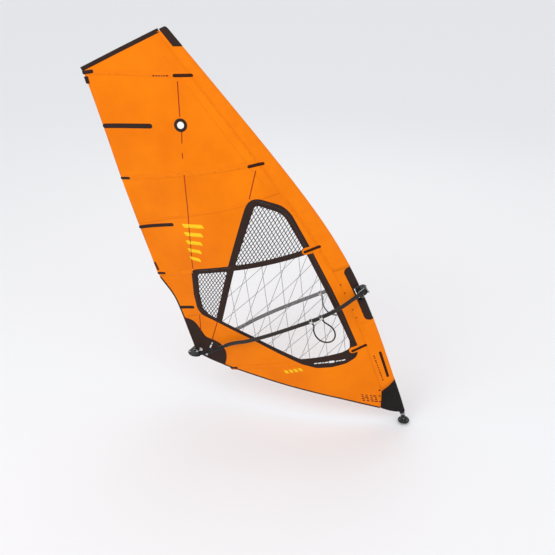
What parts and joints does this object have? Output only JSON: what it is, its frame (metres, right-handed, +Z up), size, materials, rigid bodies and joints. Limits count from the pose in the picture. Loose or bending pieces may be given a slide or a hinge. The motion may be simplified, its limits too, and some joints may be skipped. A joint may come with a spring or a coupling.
{
  "type": "windsurf sail rig",
  "caption": "Windsurf rig with a swivelling deck joint, mast, film sail with battens and window, and a wishbone boom with harness lines.",
  "frame": {"origin": "on the deck plane, on the axis of the deck bolt, straight below the lower pin of the universal joint", "axes": "+Z up from the deck, +X towards the board's bow, +Y to port; the mast leans aft by 18 degrees at rest"},
  "size_m": [2.8042, 0.5182, 3.4918],
  "materials": {
    "pad_rubber": "matt, finely ribbed",
    "black_nylon": "glass-filled nylon, satin black",
    "joint_urethane": "hard cast urethane, slightly glossy",
    "stainless": "turned stainless steel",
    "alloy_tube": "anodised, satin grey",
    "boom_tail_tube": "anodised black",
    "mast_carbon": "carbon tube, satin clear coat",
    "fairing": "padded neoprene and mesh, near black",
    "orange_film": "laminated sail film, glossy orange",
    "orange_cloth": "woven luff sleeve, orange",
    "dark_tape": "laminated reinforcement, dark brown",
    "scrim_film": "clear film with a fine diamond scrim of dark thread",
    "clear_film": "clear film with sparse grey threads",
    "batten": "pultruded tube in an orange pocket",
    "boom_grip": "moulded grip foam, dark brown",
    "white_webbing": "woven webbing, white",
    "line_cover": "flexible tube over rope, dark brown",
    "rope": "braided rope, off-white"
  },
  "bodies": {
    "deck_base": {"base_pad": "pad_rubber", "base_disc": "black_nylon", "deck_bolt": "stainless", "lower_pivot_pin": "stainless"},
    "link": {"pivot_link": "joint_urethane", "upper_pivot_pin": "stainless"},
    "swivel": {"swivel_pin": "stainless"},
    "rig": {"extension_cup": "black_nylon", "extension_tube": "alloy_tube", "tack_block": "stainless", "downhaul_rope": "rope", "mast_bottom": "mast_carbon", "mast_top": "mast_carbon", "tack_fairing": "fairing", "sleeve_lower": "orange_cloth", "sleeve_upper": "orange_cloth", "head_cap": "dark_tape", "window_frame_upper": "dark_tape", "window_frame_lower": "dark_tape", "window_mesh_upper": "scrim_film", "window_clear": "clear_film", "window_mesh_aft": "scrim_film", "panel_head": "orange_film", "panel_upper": "orange_film", "panel_middle": "orange_film", "panel_aft": "orange_film", "panel_luff": "orange_film", "panel_leech": "orange_film", "panel_foot_upper": "orange_film", "panel_foot_lower": "orange_film", "clew_patch": "dark_tape", "clew_ring": "stainless", "cutout_patch": "dark_tape", "batten_1": "batten", "batten_2": "batten", "batten_3": "batten", "batten_4": "batten", "boom_head": "black_nylon", "boom_arm_starboard": "boom_grip", "boom_arm_port": "boom_grip", "harness_strap_starboard_1": "white_webbing", "harness_strap_starboard_2": "white_webbing", "harness_strap_port_1": "white_webbing", "harness_strap_port_2": "white_webbing"},
    "button": {"release_button": "stainless"},
    "sheave_1": {"base_sheave_1": "black_nylon"},
    "sheave_2": {"base_sheave_2": "black_nylon"},
    "sheave_3": {"base_sheave_3": "black_nylon"},
    "lever": {"clamp_lever": "alloy_tube"},
    "jaw": {"clamp_jaw": "black_nylon"},
    "tail": {"tail_tube": "boom_tail_tube", "tail_fitting": "black_nylon", "outhaul_rope": "rope"},
    "sheave_starboard": {"tail_sheave_starboard": "black_nylon"},
    "sheave_port": {"tail_sheave_port": "black_nylon"},
    "clip_starboard": {"tail_clip_starboard": "black_nylon"},
    "clip_port": {"tail_clip_port": "black_nylon"},
    "line_starboard": {"harness_line_starboard": "line_cover"},
    "line_port": {"harness_line_port": "line_cover"}
  },
  "joints": [
    {"name": "fore_aft_tilt", "type": "hinge", "parent": "deck_base", "child": "link", "pos_m": [0, 0, 0.03], "axis": [0, 1, 0], "range_deg": [-12, 88]},
    {"name": "side_tilt", "type": "hinge", "parent": "link", "child": "swivel", "pos_m": [-0.01112, 0, 0.06424], "axis": [0.9511, 0, 0.309], "range_deg": [-50, 50]},
    {"name": "mast_swivel", "type": "hinge", "parent": "swivel", "child": "rig", "pos_m": [0, 0, 0.03], "axis": [-0.309, 0, 0.9511], "continuous": true},
    {"name": "release_press", "type": "slide", "parent": "rig", "child": "button", "axis": [-0.9511, 0, -0.309], "range_m": [0, 0.0025], "stiffness_N_per_m": 800},
    {"name": "sheave_1_turn", "type": "hinge", "parent": "rig", "child": "sheave_1", "pos_m": [-0.08002, -0.008, 0.15331], "axis": [0, 1, 0], "continuous": true},
    {"name": "sheave_2_turn", "type": "hinge", "parent": "rig", "child": "sheave_2", "pos_m": [-0.08002, 0, 0.15331], "axis": [0, 1, 0], "continuous": true},
    {"name": "sheave_3_turn", "type": "hinge", "parent": "rig", "child": "sheave_3", "pos_m": [-0.08002, 0.008, 0.15331], "axis": [0, 1, 0], "continuous": true},
    {"name": "clamp_lever_swing", "type": "hinge", "parent": "rig", "child": "lever", "pos_m": [-0.4248, 0, 1.37658], "axis": [0, -1, 0], "range_deg": [0, 110]},
    {"name": "clamp_jaw_swing", "type": "hinge", "parent": "rig", "child": "jaw", "pos_m": [-0.47546, 0.037, 1.32134], "axis": [0.4818, 0, -0.8763], "range_deg": [0, 14]},
    {"name": "boom_length", "type": "slide", "parent": "rig", "child": "tail", "axis": [-0.8763, 0, -0.4818], "range_m": [0, 0.15], "deforming": ["outhaul_rope"]},
    {"name": "clip_starboard_swing", "type": "hinge", "parent": "rig", "child": "clip_starboard", "pos_m": [-1.75399, -0.15, 0.61846], "axis": [-0.4818, 0, 0.8763], "range_deg": [0, 50]},
    {"name": "clip_port_swing", "type": "hinge", "parent": "rig", "child": "clip_port", "pos_m": [-1.75399, 0.15, 0.61846], "axis": [0.4818, 0, -0.8763], "range_deg": [0, 50]},
    {"name": "tail_sheave_starboard_turn", "type": "hinge", "parent": "tail", "child": "sheave_starboard", "pos_m": [-1.97131, -0.015, 0.49899], "axis": [-0.4818, 0, 0.8763], "continuous": true},
    {"name": "tail_sheave_port_turn", "type": "hinge", "parent": "tail", "child": "sheave_port", "pos_m": [-1.97131, 0.015, 0.49899], "axis": [-0.4818, 0, 0.8763], "continuous": true},
    {"name": "harness_swing_starboard", "type": "hinge", "parent": "rig", "child": "line_starboard", "pos_m": [-0.79041, -0.23294, 1.12083], "axis": [-0.8734, -0.0818, -0.4801], "range_deg": [-16, 50]},
    {"name": "harness_swing_port", "type": "hinge", "parent": "rig", "child": "line_port", "pos_m": [-0.79041, 0.23294, 1.12083], "axis": [-0.8734, 0.0818, -0.4801], "range_deg": [-50, 50]}
  ],
  "couplings": [
    {"joint": "clamp_jaw_swing", "follows": "clamp_lever_swing", "ratio": 0.12727}
  ]
}
